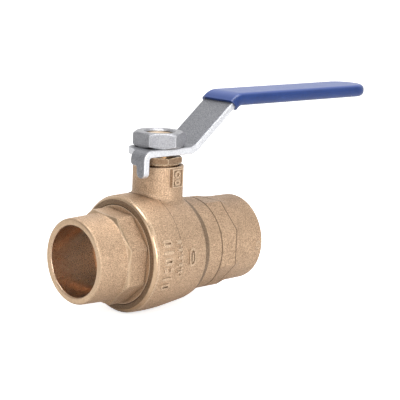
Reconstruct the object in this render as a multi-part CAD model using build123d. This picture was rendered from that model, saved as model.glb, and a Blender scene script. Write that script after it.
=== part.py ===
from build123d import *
from math import cos, pi, sin, sqrt, tan
import os

# Two-piece full-port ball valve for soldered copper tube, with a bent lever.
# Millimetres. The origin is the centre of the ball. X runs along the pipe, from the tail
# piece (-X) to the body's own cup (+X), and Z runs up the stem. The lever points along
# +X when the valve is open.

# --- pipe ends ---
tube_radius = 14.29
solder_gap = 0.06
cup_depth = 23.1
tail_cup_wall = 2.85
tail_cup_draft = 0.8
body_cup_wall = 3.9
body_cup_draft = 0.1
mouth_chamfer = 0.5

# --- ball, seats and flow way ---
ball_radius = 18.0
ball_bore_radius = 12.5
port_radius = 12.7
seat_gap = 0.05
seat_backing = 3.75
seat_width = 7.0
seat_side = 1.5
tail_pocket_depth = 5.1
body_pocket_depth = 6.6
chamber_gap = 0.45
tail_web = 3.8
body_web = 5.4

# --- joint between tail piece and body ---
gasket_thickness = 0.8
gasket_width = 1.85
tail_thread_depth = 0.85
tail_thread_pitch = 1.5
tail_thread_length = 9.5
thread_gap = 0.05

# --- outside of the forging ---
lip_wall = 3.15
lip_width = 1.6
lip_round = 1.5
lip_step = 0.4
barrel_wall = 3.95
chamber_wall = 4.6
shoulder_wall = 3.95
shoulder_setback = 2.5
shoulder_width = 5.2
shoulder_bulge = 0.45
ring_wall = 2.75
ring_width = 8.0
wrench_across_flats = 36.1
tail_wrench_width = 8.0
tail_wrench_setback = 0.5
tail_wrench_clock = -4.6
tail_wrench_chamfer = 60.0
body_wrench_width = 9.1
body_wrench_chamfer = 22.0
wrench_sides = 8
relief_height = 0.6
mark_stroke = 0.85
mark_length = 4.4
mark_pitch = 3.5
mark_top = 7.9
mark_setback = 4.9
dash_column = 6.2
dash_length = 2.6
dash_pitch = 3.0
dash_count = 5
loop_column = 13.6
loop_drop = 7.0
loop_length = 3.6
loop_width = 7.0
loop_bar = (0.9, 3.4)
loop_corner_share = 0.42
pip_radius = 1.5
pip_height = 0.6
pip_setback = 2.7
pip_drop = 0.5

# --- stem, packing and neck ---
stem_radius = 6.0
stem_gap = 0.06
stem_flat = 4.75
stem_shoulder_radius = 8.0
stem_shoulder_height = 2.0
stem_shoulder_gap = 0.3
tang_thickness = 4.84
tang_width = 11.0
tang_gap = 0.08
tang_floor_gap = 0.3
slot_roof = 1.5
shoulder_lift = 0.15
washer_thickness = 1.2
washer_gap = 0.05
collar_thickness = 3.1
packing_width = 2.0
packing_ring_height = 1.8
packing_names = ("lower", "middle", "upper")
follower_height = 1.6
packing_nut_thread_depth = 0.5
packing_nut_thread_pitch = 1.0
packing_nut_thread_length = 4.4
packing_nut_entry = 3.4
packing_nut_hex = 16.8
packing_nut_height = 2.6
packing_nut_collar = 0.6
packing_nut_collar_wall = 0.4
packing_nut_clock = -47.7
neck_wall = 1.95
neck_fillet = 1.5
neck_fillet_share = 0.8

# --- lever, grip and lever nut ---
lever_thickness = 3.0
lever_width = 17.3
lever_reach = 121.0
lever_rise = 19.7
lever_slope = 38.9
lever_bend_start = 11.56
lever_bend_radius = 6.5
lever_head_radius = 12.8
lever_edge_round = 0.7
lever_tip_round = 8.2
lever_hole_gap = 0.05
lever_clearance = 0.76
tab_offset = 13.8
tab_bend_radius = 2.5
tab_drop = 6.4
tab_corner = 1.6
tongue_drop = 11.2
tongue_width = 4.9
grip_wall = 1.2
grip_lap = 2.6
lever_nut_hex = 19.0
lever_nut_height = 6.3
lever_nut_clock = -33.5
lever_nut_thread_depth = 0.55
lever_nut_thread_pitch = 1.25
lever_nut_sink = 0.8
stem_end_below_nut = 0.9

# --- travel stops ---
stop_gap = 0.15
lug_width = 2.4
lug_reach = 3.8
lug_drop = 4.6
lug_top_gap = 0.8
lug_root = 0.8
lug_slope_share = 0.6
stop_tab_width = 5.8

# --- badge on the neck ---
badge_width = 5.4
badge_height = 7.5
badge_drop = 0.4
badge_standoff = 1.7
badge_frame = 0.55
badge_recess = 0.35
badge_relief = 0.3
badge_ring_radius = 1.35
badge_ring_hole = 0.8
badge_ring_rise = 1.6
badge_bar = (2.6, 0.7)
badge_bar_drops = (0.9, 2.2)

# --- sizes that follow from the ones above ---
cup_radius = tube_radius + solder_gap
seat_back_x = sqrt(ball_radius**2 - port_radius**2) + seat_backing
seat_front_x = seat_back_x - seat_width
chamber_radius = ball_radius + chamber_gap
seat_radius = chamber_radius - seat_side
tail_end_x = seat_back_x - tail_pocket_depth
chamber_end_x = seat_back_x - body_pocket_depth
body_step_x = tail_end_x - gasket_thickness
body_face_x = tail_end_x + tail_thread_length
tail_thread_radius = chamber_radius + gasket_width + thread_gap
body_thread_radius = tail_thread_radius + thread_gap
tail_floor_x = seat_back_x + tail_web
tail_mouth_x = tail_floor_x + cup_depth
body_floor_x = seat_back_x + body_web
body_mouth_x = body_floor_x + cup_depth
tail_cup_radius = cup_radius + tail_cup_wall
body_cup_radius = cup_radius + body_cup_wall
wrench_corner = wrench_across_flats / 2 / cos(pi / wrench_sides)
shoulder_x = seat_front_x - shoulder_setback
ring_x = shoulder_x + shoulder_width
ring_end_x = ring_x + ring_width

slot_floor_z = ball_bore_radius + slot_roof
shoulder_z = chamber_radius + shoulder_lift
washer_z = shoulder_z + stem_shoulder_height + washer_gap
collar_z = washer_z + washer_thickness
packing_z = collar_z + collar_thickness
packing_radius = stem_radius + packing_width
follower_z = packing_z + packing_ring_height * len(packing_names)
packing_nut_z = follower_z + follower_height
packing_nut_radius = packing_radius + packing_nut_thread_depth
packing_nut_hex_z = packing_nut_z + packing_nut_thread_length
neck_top_z = packing_nut_z + packing_nut_entry
neck_radius = packing_nut_radius + neck_wall
neck_foot = shoulder_x - neck_radius
neck_root = min(neck_fillet, neck_foot * neck_fillet_share) if neck_foot > 0 else neck_fillet
packing_nut_top_z = packing_nut_hex_z + packing_nut_height
lever_bottom_z = packing_nut_top_z + lever_clearance
lever_middle_z = lever_bottom_z + lever_thickness / 2
lever_top_z = lever_bottom_z + lever_thickness
lever_nut_top_z = lever_top_z + lever_nut_height
stem_top_z = lever_nut_top_z - stem_end_below_nut


def turned_about_x(points):
    """Solid of revolution about X from (x, radius) pairs."""
    return revolve(make_face(Polyline(*[(x, 0, r) for x, r in points], close=True)), Axis.X)


def turned_about_z(points):
    """Solid of revolution about Z from (radius, z) pairs."""
    return revolve(make_face(Polyline(*[(r, 0, z) for r, z in points], close=True)), Axis.Z)


def ring_about_z(inner, outer, low, high):
    return turned_about_z([(inner, low), (outer, low), (outer, high), (inner, high)])


def thread_profile(start, end, crest, depth, pitch):
    """Points (along, radius) of a V thread cut as rings, from one end to the other."""
    turns = int(abs(end - start) / pitch)
    step = (end - start) / turns
    points = [(start, crest - depth)]
    for turn in range(turns):
        points.append((start + (turn + 0.45) * step, crest))
        points.append((start + (turn + 0.55) * step, crest))
        points.append((start + (turn + 1) * step, crest - depth))
    return points


def prism_about_x(x_low, x_high, clock):
    """Wrench flats round the pipe axis, clocked from -Y towards +Z."""
    angles = [(side + 0.5) * 2 * pi / wrench_sides + clock * pi / 180 for side in range(wrench_sides)]
    points = [(x_low, -wrench_corner * cos(a), wrench_corner * sin(a)) for a in angles]
    return extrude(make_face(Polyline(*points, close=True)), amount=x_high - x_low, dir=(1, 0, 0))


def hexagon_about_z(across_flats, low, high, clock):
    corner = across_flats / sqrt(3)
    points = [
        (corner * cos((60 * k + clock) * pi / 180), corner * sin((60 * k + clock) * pi / 180), low)
        for k in range(6)
    ]
    return extrude(make_face(Polyline(*points, close=True)), amount=high - low, dir=(0, 0, 1))


def nut_corner_cone(across_flats, low, high, both_sides):
    """Envelope that gives a nut its 30 degree corner chamfers."""
    corner = across_flats / sqrt(3) + 0.1
    face_radius = across_flats / 2 - 0.15
    drop = (corner - face_radius) * tan(pi / 6)
    bottom = [(face_radius, low), (corner, low + drop)] if both_sides else [(corner, low)]
    return turned_about_z([(0, low)] + bottom + [(corner, high - drop), (face_radius, high), (0, high)])


def box_between(x_low, x_high, y_low, y_high, z_low, z_high):
    size = (x_high - x_low, y_high - y_low, z_high - z_low)
    centre = ((x_high + x_low) / 2, (y_high + y_low) / 2, (z_high + z_low) / 2)
    return Pos(*centre) * Box(*size)


# --- the forging's outside, shared by the body and the raised marks on it ---
def barrel_outline(extra):
    """Barrel from the lip's step to the ring behind the body's wrench flats."""
    step = (-body_face_x + lip_width, body_thread_radius + lip_wall + lip_step + extra)
    crown = (-body_step_x, body_thread_radius + barrel_wall + extra)
    waist = (shoulder_x - shoulder_width, chamber_radius + chamber_wall + extra)
    shoulder = (shoulder_x, chamber_radius + shoulder_wall + extra)
    ring = (ring_x, seat_radius + ring_wall + extra)
    return step, crown, waist, shoulder, ring


def forged_barrel(extra=0.0):
    step, crown, waist, shoulder, ring = barrel_outline(extra)
    ring_end = (ring_end_x, ring[1])
    curve = Spline(*[(x, 0, r) for x, r in (step, crown, waist, shoulder)])
    middle = ((shoulder[0] + ring[0]) / 2 + shoulder_bulge / 2, (shoulder[1] + ring[1]) / 2 + shoulder_bulge)
    slope = ThreePointArc(*[(x, 0, r) for x, r in (shoulder, middle, ring)])
    closing = Polyline(*[(x, 0, r) for x, r in (ring, ring_end, (ring_end[0], 0), (step[0], 0), step)])
    return revolve(make_face(curve.edges() + slope.edges() + closing.edges()), Axis.X)


def loop_mark(length, width):
    """Flat rounded loop of one stroke width."""
    inner_length = length - 2 * mark_stroke
    inner_width = width - 2 * mark_stroke
    outer_corner = min(length, width) * loop_corner_share
    inner_corner = min(inner_length, inner_width) * loop_corner_share
    outer = RectangleRounded(length, width, outer_corner)
    return outer - RectangleRounded(inner_length, inner_width, inner_corner)


def raised_marks():
    """Plain loops, bars and pips standing out of the barrel's side, kept to its curve."""
    first_x = -body_face_x + lip_width + mark_setback
    dash_x = first_x + dash_column
    loop_x = first_x + loop_column
    loop = loop_mark(mark_length, 3 * mark_stroke)
    bar = Rectangle(mark_length, mark_stroke)
    block = Rectangle(mark_length / 3, 2 * mark_stroke)
    pair = Pos(-mark_length / 3, 0) * block + Pos(mark_length / 3, 0) * block
    sketch = Sketch()
    for row, mark in enumerate((loop, bar, loop, pair, bar, loop)):
        sketch += Pos(first_x, mark_top - mark_pitch * row) * mark
    for row in range(dash_count):
        dash_z = mark_top - dash_pitch * row
        sketch += Pos(dash_x, dash_z) * Rectangle(dash_length, mark_stroke)
        sketch += Pos(dash_x + mark_stroke, dash_z - dash_pitch / 2) * Circle(mark_stroke / 2)
    sketch += Pos(loop_x, mark_top - loop_drop) * loop_mark(loop_length, loop_width)
    sketch += Pos(loop_x, mark_top - loop_drop) * Rectangle(*loop_bar)
    side = Plane(origin=(0, 0, 0), x_dir=(1, 0, 0), z_dir=(0, -1, 0))
    columns = extrude(side * sketch, amount=chamber_radius + 2 * barrel_wall + chamber_wall)
    core_radius = chamber_radius + gasket_width
    core = turned_about_x(
        [(-body_face_x, 0), (-body_face_x, core_radius), (ring_x, core_radius), (ring_x, 0)]
    )
    return (columns & forged_barrel(relief_height)) - core


def badge():
    """Framed pad on the side of the neck, with a ring and two bars."""
    face_y = -(neck_radius + badge_standoff)
    top = neck_top_z - badge_drop
    half = badge_width / 2
    pad = box_between(-half, half, face_y, 0, top - badge_height, top)
    recess = box_between(
        -half + badge_frame,
        half - badge_frame,
        face_y - 1,
        face_y + badge_recess,
        top - badge_height + badge_frame,
        top - badge_frame,
    )
    floor_y = face_y + 2 * badge_recess
    front = Plane(origin=(0, floor_y, top - badge_height / 2), x_dir=(1, 0, 0), z_dir=(0, -1, 0))
    mark = Pos(0, badge_ring_rise) * (Circle(badge_ring_radius) - Circle(badge_ring_hole))
    for drop in badge_bar_drops:
        mark += Pos(0, -drop) * Rectangle(*badge_bar)
    return pad - recess + extrude(front * mark, amount=badge_recess + badge_relief)


def stop_lug():
    """Cast lug behind the neck that both lever tabs come up against."""
    low = neck_top_z - lug_drop
    high = lever_bottom_z - lug_top_gap
    reach = neck_radius + lug_reach
    lug = box_between(stop_gap, stop_gap + lug_width, neck_radius - lug_root, reach, low, high)
    return chamfer(lug.edges().group_by(Axis.Z)[0].group_by(Axis.Y)[-1], lug_reach * lug_slope_share)


def cup_end(x_root, x_mouth, mouth_radius, draft):
    """Outside of one solder cup, from its root to its mouth."""
    sign = 1 if x_mouth > x_root else -1
    return turned_about_x(
        [
            (x_root, 0),
            (x_root, mouth_radius + draft),
            (x_mouth - sign * mouth_chamfer, mouth_radius),
            (x_mouth, mouth_radius - mouth_chamfer),
            (x_mouth, 0),
        ]
    )


def cup_hole(x_floor, x_mouth):
    sign = 1 if x_mouth > x_floor else -1
    return turned_about_x(
        [
            (x_floor, 0),
            (x_floor, cup_radius),
            (x_mouth - sign * mouth_chamfer, cup_radius),
            (x_mouth, cup_radius + mouth_chamfer),
            (x_mouth + sign, cup_radius + mouth_chamfer),
            (x_mouth + sign, 0),
        ]
    )


def wrench_flats(x_root, x_face, foot_radius, chamfer_angle, clock):
    """Octagon from its root towards a cup's mouth, its corners sloped down to the cup."""
    sign = 1 if x_face > x_root else -1
    x_foot = x_face + sign * (wrench_corner - foot_radius) / tan(chamfer_angle * pi / 180)
    flats = prism_about_x(min(x_root, x_foot), max(x_root, x_foot), clock)
    envelope = turned_about_x(
        [
            (x_root, 0),
            (x_root, wrench_corner + 0.02),
            (x_face, wrench_corner + 0.02),
            (x_foot, foot_radius),
            (x_foot, 0),
        ]
    )
    return flats & envelope


def valve_body():
    neck = Cylinder(neck_radius, neck_top_z, align=(Align.CENTER, Align.CENTER, Align.MIN))
    body = forged_barrel() + neck
    roots = [
        edge
        for edge in body.edges()
        if edge.center().Z > chamber_radius and edge.bounding_box().max.X < neck_radius + 0.2
        and edge.bounding_box().min.X > -neck_radius - 0.2 and edge.bounding_box().max.Z < neck_top_z - 0.5
    ]
    body = fillet(roots, neck_root)
    lip = turned_about_x(
        [
            (-body_face_x, 0),
            (-body_face_x, body_thread_radius + lip_wall),
            (-body_face_x + lip_width, body_thread_radius + lip_wall),
            (-body_face_x + lip_width, 0),
        ]
    )
    body += fillet(lip.edges().group_by(Axis.X)[0], lip_round)
    body += cup_end(ring_end_x - 1, body_mouth_x, body_cup_radius, body_cup_draft)
    body += wrench_flats(
        ring_end_x, ring_end_x + body_wrench_width, body_cup_radius, body_wrench_chamfer, 0
    )
    body += raised_marks()
    body += badge()
    body += stop_lug()
    body += pip()
    return body - body_hollow() - neck_hollow()


def pip():
    """Small round pip near the mouth of the body's cup."""
    low = -body_cup_radius + body_cup_wall / 2
    high = -body_cup_radius - pip_height
    disc = Rot(90, 0, 0) * Cylinder(pip_radius, low - high)
    return Pos(body_mouth_x - pip_setback, (low + high) / 2, -pip_drop) * disc


def body_hollow():
    """Threaded mouth, ball chamber, seat pocket, port and solder cup, as one turned void."""
    thread = thread_profile(
        -body_face_x, -tail_end_x, body_thread_radius, tail_thread_depth, tail_thread_pitch
    )
    bore = [
        (-body_face_x - 1, 0),
        (-body_face_x - 1, body_thread_radius - tail_thread_depth),
        *thread,
        (-tail_end_x, tail_thread_radius),
        (-body_step_x, tail_thread_radius),
        (-body_step_x, chamber_radius),
        (chamber_end_x, chamber_radius),
        (chamber_end_x, seat_radius),
        (seat_back_x, seat_radius),
        (seat_back_x, port_radius),
        (body_floor_x + 1, port_radius),
        (body_floor_x + 1, 0),
    ]
    return turned_about_x(bore) + cup_hole(body_floor_x, body_mouth_x)


def neck_hollow():
    """Shoulder pocket, stem bore, packing chamber and packing nut thread."""
    thread = thread_profile(
        packing_nut_z,
        neck_top_z,
        packing_nut_radius + thread_gap,
        packing_nut_thread_depth,
        packing_nut_thread_pitch,
    )
    return turned_about_z(
        [
            (0, 0),
            (stem_shoulder_radius + stem_shoulder_gap, 0),
            (stem_shoulder_radius + stem_shoulder_gap, collar_z),
            (stem_radius + stem_gap, collar_z),
            (stem_radius + stem_gap, packing_z),
            (packing_radius, packing_z),
            *[(r, z) for z, r in thread],
            (packing_nut_radius, neck_top_z + 1),
            (0, neck_top_z + 1),
        ]
    )


def tail_piece():
    root_x = -body_face_x - tail_wrench_setback
    thread = thread_profile(
        -body_face_x, -tail_end_x, tail_thread_radius - thread_gap, tail_thread_depth, tail_thread_pitch
    )
    screw = turned_about_x(
        [
            (root_x, 0),
            (root_x, wrench_across_flats / 2),
            (-body_face_x, wrench_across_flats / 2),
            *thread,
            (-tail_end_x, 0),
        ]
    )
    tail = screw + cup_end(root_x, -tail_mouth_x, tail_cup_radius, tail_cup_draft)
    tail += wrench_flats(
        root_x,
        root_x - tail_wrench_width + tail_wrench_setback,
        tail_cup_radius + tail_cup_draft / 2,
        tail_wrench_chamfer,
        tail_wrench_clock,
    )
    hollow = turned_about_x(
        [
            (-tail_mouth_x, 0),
            (-tail_mouth_x, port_radius),
            (-seat_back_x, port_radius),
            (-seat_back_x, seat_radius),
            (-tail_end_x + 1, seat_radius),
            (-tail_end_x + 1, 0),
        ]
    )
    return tail - hollow - cup_hole(-tail_floor_x, -tail_mouth_x)


def inlet_seat():
    ring = turned_about_x(
        [
            (-seat_front_x, port_radius),
            (-seat_front_x, seat_radius),
            (-seat_back_x, seat_radius),
            (-seat_back_x, port_radius),
        ]
    )
    return ring - Sphere(ball_radius + seat_gap)


def body_seal():
    return turned_about_x(
        [
            (-tail_end_x, chamber_radius),
            (-tail_end_x, chamber_radius + gasket_width),
            (-body_step_x, chamber_radius + gasket_width),
            (-body_step_x, chamber_radius),
        ]
    )


def ball():
    slot_half = tang_thickness / 2 + tang_gap
    bore = Rot(0, 90, 0) * Cylinder(ball_bore_radius, 3 * ball_radius)
    slot = box_between(-slot_half, slot_half, -ball_radius, ball_radius, slot_floor_z, ball_radius + 1)
    return Sphere(ball_radius) - bore - slot


def stem():
    thread = thread_profile(
        lever_top_z,
        stem_top_z - lever_nut_sink,
        stem_radius,
        lever_nut_thread_depth,
        lever_nut_thread_pitch,
    )
    shaft = turned_about_z(
        [
            (0, shoulder_z),
            (stem_shoulder_radius, shoulder_z),
            (stem_shoulder_radius, shoulder_z + stem_shoulder_height),
            (stem_radius, shoulder_z + stem_shoulder_height),
            (stem_radius, lever_top_z),
            *[(r, z) for z, r in thread],
            (stem_radius - lever_nut_sink - lever_nut_thread_depth, stem_top_z),
            (0, stem_top_z),
        ]
    )
    for side in (-1, 1):
        flat_low, flat_high = sorted((side * stem_flat, side * 2 * stem_radius))
        shaft -= box_between(
            -2 * stem_radius, 2 * stem_radius, flat_low, flat_high, lever_bottom_z, stem_top_z + 1
        )
    tang = box_between(
        -tang_thickness / 2,
        tang_thickness / 2,
        -tang_width / 2,
        tang_width / 2,
        slot_floor_z + tang_floor_gap,
        shoulder_z + 0.5,
    )
    return shaft + (tang & Cylinder(stem_shoulder_radius, 3 * ball_radius))


def packing_nut():
    thread = thread_profile(
        packing_nut_z,
        neck_top_z,
        packing_nut_radius - thread_gap,
        packing_nut_thread_depth,
        packing_nut_thread_pitch,
    )
    screw = turned_about_z(
        [
            (stem_radius + stem_gap, packing_nut_z),
            *[(r, z) for z, r in thread],
            (packing_nut_radius, neck_top_z + 0.15),
            (packing_nut_radius, packing_nut_hex_z - packing_nut_collar),
            (packing_nut_radius + packing_nut_collar_wall, packing_nut_hex_z - packing_nut_collar),
            (packing_nut_radius + packing_nut_collar_wall, packing_nut_hex_z),
            (stem_radius + stem_gap, packing_nut_hex_z),
        ]
    )
    head = hexagon_about_z(packing_nut_hex, packing_nut_hex_z, packing_nut_top_z, packing_nut_clock)
    head &= nut_corner_cone(packing_nut_hex, packing_nut_hex_z, packing_nut_top_z, both_sides=False)
    return screw + (head - Cylinder(stem_radius + stem_gap, 3 * packing_nut_top_z))


def lever_nut():
    nut = hexagon_about_z(lever_nut_hex, lever_top_z, lever_nut_top_z, lever_nut_clock)
    nut &= nut_corner_cone(lever_nut_hex, lever_top_z, lever_nut_top_z, both_sides=True)
    thread = thread_profile(
        lever_top_z,
        stem_top_z - lever_nut_sink,
        stem_radius + thread_gap,
        lever_nut_thread_depth,
        lever_nut_thread_pitch,
    )
    hole = turned_about_z(
        [
            (0, lever_top_z - 1),
            (stem_radius + thread_gap - lever_nut_thread_depth, lever_top_z - 1),
            *[(r, z) for z, r in thread],
            (stem_radius + thread_gap, stem_top_z),
            (stem_radius + lever_nut_sink, lever_nut_top_z),
            (stem_radius + lever_nut_sink, lever_nut_top_z + 1),
            (0, lever_nut_top_z + 1),
        ]
    )
    return nut - hole


def lever_path(x_start):
    """Middle line of the lever's plate, up the slope and out to the tip."""
    slope_run = lever_rise / tan(lever_slope * pi / 180)
    shift = lever_thickness / 2 * tan(lever_slope * pi / 360)
    bend_low = lever_bend_start + shift
    bend_high = bend_low + slope_run
    raised_z = lever_middle_z + lever_rise
    return bend_low, bend_high, raised_z, FilletPolyline(
        (x_start, 0, lever_middle_z),
        (bend_low, 0, lever_middle_z),
        (bend_high, 0, raised_z),
        (lever_reach, 0, raised_z),
        radius=lever_bend_radius,
    )


def bar_along(path, width, thickness, edge_round):
    section = Plane(origin=path @ 0, z_dir=path % 0, x_dir=(0, 1, 0)) * RectangleRounded(
        width, thickness, edge_round
    )
    return sweep(section, path=path)


def tip_waste(reach, width, corner):
    """What is cut off the lever's far end to round its two corners in plan."""
    quarter = Rectangle(corner + 1, corner + 1, align=(Align.MIN, Align.MIN)) - Circle(corner)
    waste = extrude(Pos(reach - corner, width / 2 - corner) * quarter, amount=4 * lever_nut_top_z)
    return waste + mirror(waste, about=Plane.XZ)


def lever():
    bar = bar_along(lever_path(0)[3], lever_width, lever_thickness, lever_edge_round)
    bar -= tip_waste(lever_reach, lever_width, lever_tip_round)
    bar += head_plate()
    bar += stop_tab_with_tongue()
    bar += side_stop_tab()
    hole = Cylinder(stem_radius + lever_hole_gap, 4 * lever_nut_top_z) & Box(
        4 * stem_radius, 2 * (stem_flat + lever_hole_gap), 4 * lever_nut_top_z
    )
    return bar - hole


def head_plate():
    half = lever_width / 2
    disc = Circle(lever_head_radius) & Pos(-lever_head_radius / 2, half / 2) * Rectangle(
        lever_head_radius, half
    )
    straight = tab_offset - tab_bend_radius
    plan = disc + Pos(-straight / 2, -half / 2) * Rectangle(straight, half)
    return Pos(0, 0, lever_bottom_z) * extrude(plan, amount=lever_thickness)


def bent_tab(offset, straight, drop, width):
    """A strip that leaves the plate along -X and is bent down at the given offset."""
    path = FilletPolyline(
        (-straight, 0, lever_middle_z),
        (-offset, 0, lever_middle_z),
        (-offset, 0, lever_top_z - drop),
        radius=tab_bend_radius,
    )
    section = Plane(origin=path @ 0, z_dir=path % 0, x_dir=(0, 1, 0)) * Rectangle(width, lever_thickness)
    return sweep(section, path=path)


def stop_tab_with_tongue():
    """Tab at the head's end: a wide lobe that meets the lug, and a narrow tongue below it."""
    half = lever_width / 2
    near = -half
    tab = Pos(0, near / 2, 0) * bent_tab(tab_offset, tab_offset / 2, tongue_drop, half)
    lobe_z = lever_top_z - tab_drop
    tongue_z = lever_top_z - tongue_drop
    tongue_edge = near + tongue_width
    spare = Plane.YZ * (
        Pos((tongue_edge + 1) / 2, (lobe_z + tongue_z) / 2 - 1) * Rectangle(1 - tongue_edge, lobe_z - tongue_z + 2)
    )
    tab -= Pos(-2 * tab_offset, 0, 0) * extrude(spare, amount=2 * tab_offset, dir=(1, 0, 0))
    uprights = tab.edges().filter_by(Axis.X).sort_by(Axis.Z)
    tongue_end = uprights[:2]
    tab = fillet(tongue_end, tongue_width / 2 - 0.05)
    step = [
        edge
        for edge in tab.edges().filter_by(Axis.X)
        if abs(edge.center().Z - lobe_z) < 0.01
    ]
    return fillet(step, tab_corner)


def side_stop_tab():
    """Tab bent down beside the neck, which meets the lug when the valve is open."""
    offset = tab_offset
    tab = bent_tab(offset, lever_width / 4, tab_drop, stop_tab_width)
    x_low = 2 * stop_gap + lug_width
    return Pos(x_low + stop_tab_width / 2, 0, 0) * (Rot(0, 0, -90) * tab)


def lever_grip():
    bend_low, bend_high, raised_z, path = lever_path(0)
    width = lever_width + 2 * grip_wall
    thickness = lever_thickness + 2 * grip_wall
    tip = lever_reach + grip_wall
    start_x = bend_high - grip_lap
    start_z = raised_z - grip_lap * tan(lever_slope * pi / 180)
    route = FilletPolyline(
        (start_x, 0, start_z), (bend_high, 0, raised_z), (tip, 0, raised_z), radius=lever_bend_radius / 2
    )
    sleeve = bar_along(route, width, thickness, thickness * 0.42)
    sleeve -= tip_waste(tip, width, lever_tip_round + grip_wall)
    return sleeve - lever()


def build_nodes():
    nodes = {
        "valve_body": valve_body(),
        "tail_piece": tail_piece(),
        "seat_ring_inlet": inlet_seat(),
        "seat_ring_outlet": Rot(0, 0, 180) * inlet_seat(),
        "body_seal": body_seal(),
        "ball": ball(),
        "stem": stem(),
        "stem_thrust_washer": ring_about_z(
            stem_radius + stem_gap, stem_shoulder_radius + stem_shoulder_gap, washer_z, collar_z
        ),
        "packing_follower": ring_about_z(stem_radius + stem_gap, packing_radius, follower_z, packing_nut_z),
        "packing_nut": packing_nut(),
        "lever": lever(),
        "lever_grip": lever_grip(),
        "lever_nut": lever_nut(),
    }
    for index, name in enumerate(packing_names):
        low = packing_z + index * packing_ring_height
        nodes["packing_ring_" + name] = ring_about_z(
            stem_radius + stem_gap, packing_radius, low, low + packing_ring_height
        )
    return nodes


os.makedirs("parts", exist_ok=True)
for node, shape in build_nodes().items():
    export_step(shape, "parts/" + node + ".step")
    print(node, round(shape.volume, 1), len(shape.solids()), shape.is_valid)
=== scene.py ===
# %% [markdown]
# # A soldered ball valve, piece by piece
# A ball valve is a pipe with a drilled ball in it. A quarter turn of the lever turns the
# ball, and the water stops. The design already exists as exact solids, so this lesson loads
# them, models the pieces you can see again with softer, more lifelike edges, and gives
# every piece a finish made of nodes. It could be done with the solids alone, but a forged
# or bent piece has no perfectly sharp edge, and light shows that at once.

# %% Load the frame
import math
import bmesh
import bpy
from mathutils import Matrix, Quaternion, Vector


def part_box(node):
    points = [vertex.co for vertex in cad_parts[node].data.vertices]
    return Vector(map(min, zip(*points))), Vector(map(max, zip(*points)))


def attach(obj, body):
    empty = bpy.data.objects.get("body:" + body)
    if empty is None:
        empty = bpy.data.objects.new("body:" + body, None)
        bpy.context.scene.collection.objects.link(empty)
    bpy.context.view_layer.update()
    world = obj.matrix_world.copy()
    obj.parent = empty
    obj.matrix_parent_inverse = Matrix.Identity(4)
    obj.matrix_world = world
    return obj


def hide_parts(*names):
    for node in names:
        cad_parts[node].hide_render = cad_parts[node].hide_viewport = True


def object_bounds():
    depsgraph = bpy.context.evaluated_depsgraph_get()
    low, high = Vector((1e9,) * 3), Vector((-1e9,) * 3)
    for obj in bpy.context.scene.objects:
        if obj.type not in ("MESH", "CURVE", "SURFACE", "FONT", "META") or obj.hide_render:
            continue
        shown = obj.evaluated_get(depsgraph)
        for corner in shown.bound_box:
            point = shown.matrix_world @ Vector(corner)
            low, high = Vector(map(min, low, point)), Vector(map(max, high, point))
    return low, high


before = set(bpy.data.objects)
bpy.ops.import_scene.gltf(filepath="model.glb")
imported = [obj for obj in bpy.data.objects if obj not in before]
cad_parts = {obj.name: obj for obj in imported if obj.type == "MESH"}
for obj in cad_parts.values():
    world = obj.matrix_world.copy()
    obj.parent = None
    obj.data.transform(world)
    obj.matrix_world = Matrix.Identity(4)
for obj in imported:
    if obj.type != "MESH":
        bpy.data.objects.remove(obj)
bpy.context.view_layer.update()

MM = 0.001
print("nodes:", sorted(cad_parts))

# %% [markdown]
# ## Where things are
# Every size that a neighbour decides is read from the neighbour's own box, so nothing has
# to be fitted by eye. All pieces are drawn in millimetres round the centre of the ball, X
# along the pipe and Z up the stem, and are scaled to metres once, when they are finished.


# %% Read the stations of the design
def node_span(node, axis):
    """Lowest and highest place of a node along one axis, in millimetres."""
    low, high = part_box(node)
    return low[axis] / MM, high[axis] / MM


TAIL_MOUTH, TAIL_NOSE = node_span("tail_piece", 0)
BODY_FACE, BODY_MOUTH = node_span("valve_body", 0)
NUT_SEAT, NUT_TOP = node_span("lever_nut", 2)
PACKING_FOOT, PACKING_TOP = node_span("packing_nut", 2)
LEVER_TIP = node_span("lever", 0)[1]
SEAL_STEP = node_span("body_seal", 0)[1]
print("pipe mouths", TAIL_MOUTH, BODY_MOUTH, "nut", NUT_SEAT, NUT_TOP)

# %% [markdown]
# ## Helpers for turned pieces
# Most of a valve is round. A turned piece starts as its half section: a closed loop of
# edges, whose corners are rounded with a vertex bevel while it is still a wire. One spin
# then makes the solid. Drawing the section first is easier than rounding the edges of the
# finished solid, because every corner keeps its own radius.


# %% Draw a half section and round its corners
def half_section(corners, axis):
    """Closed wire from (along, radius, rounding) corners, in the plane that holds the axis."""
    bm = bmesh.new()
    loop = []
    for along, radius, rounding in corners:
        spot = (along, 0, radius) if axis == "X" else (radius, 0, along)
        loop.append((bm.verts.new(spot), rounding))
    for (vert, _), (following, _) in zip(loop, loop[1:] + loop[:1]):
        bm.edges.new((vert, following))
    for size in sorted({rounding for _, rounding in loop if rounding > 0}):
        picked = [vert for vert, rounding in loop if rounding == size]
        bmesh.ops.bevel(
            bm, geom=picked, affect="VERTICES", offset=size, segments=3 if size < 1 else 6,
            profile=0.5, material=-1,
        )
    return bm


# %% Add rings where a shape will be pressed, then spin
def cut_rings(bm, axis, start, end, spacing):
    """Add a point to the section every few tenths, so that a later press has rings to move."""
    normal = (1, 0, 0) if axis == "X" else (0, 0, 1)
    for number in range(int((end - start) / spacing) + 1):
        place = Vector(normal) * (start + number * spacing)
        everything = bm.verts[:] + bm.edges[:] + bm.faces[:]
        bmesh.ops.bisect_plane(bm, geom=everything, plane_co=place, plane_no=normal, dist=1e-5)


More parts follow.
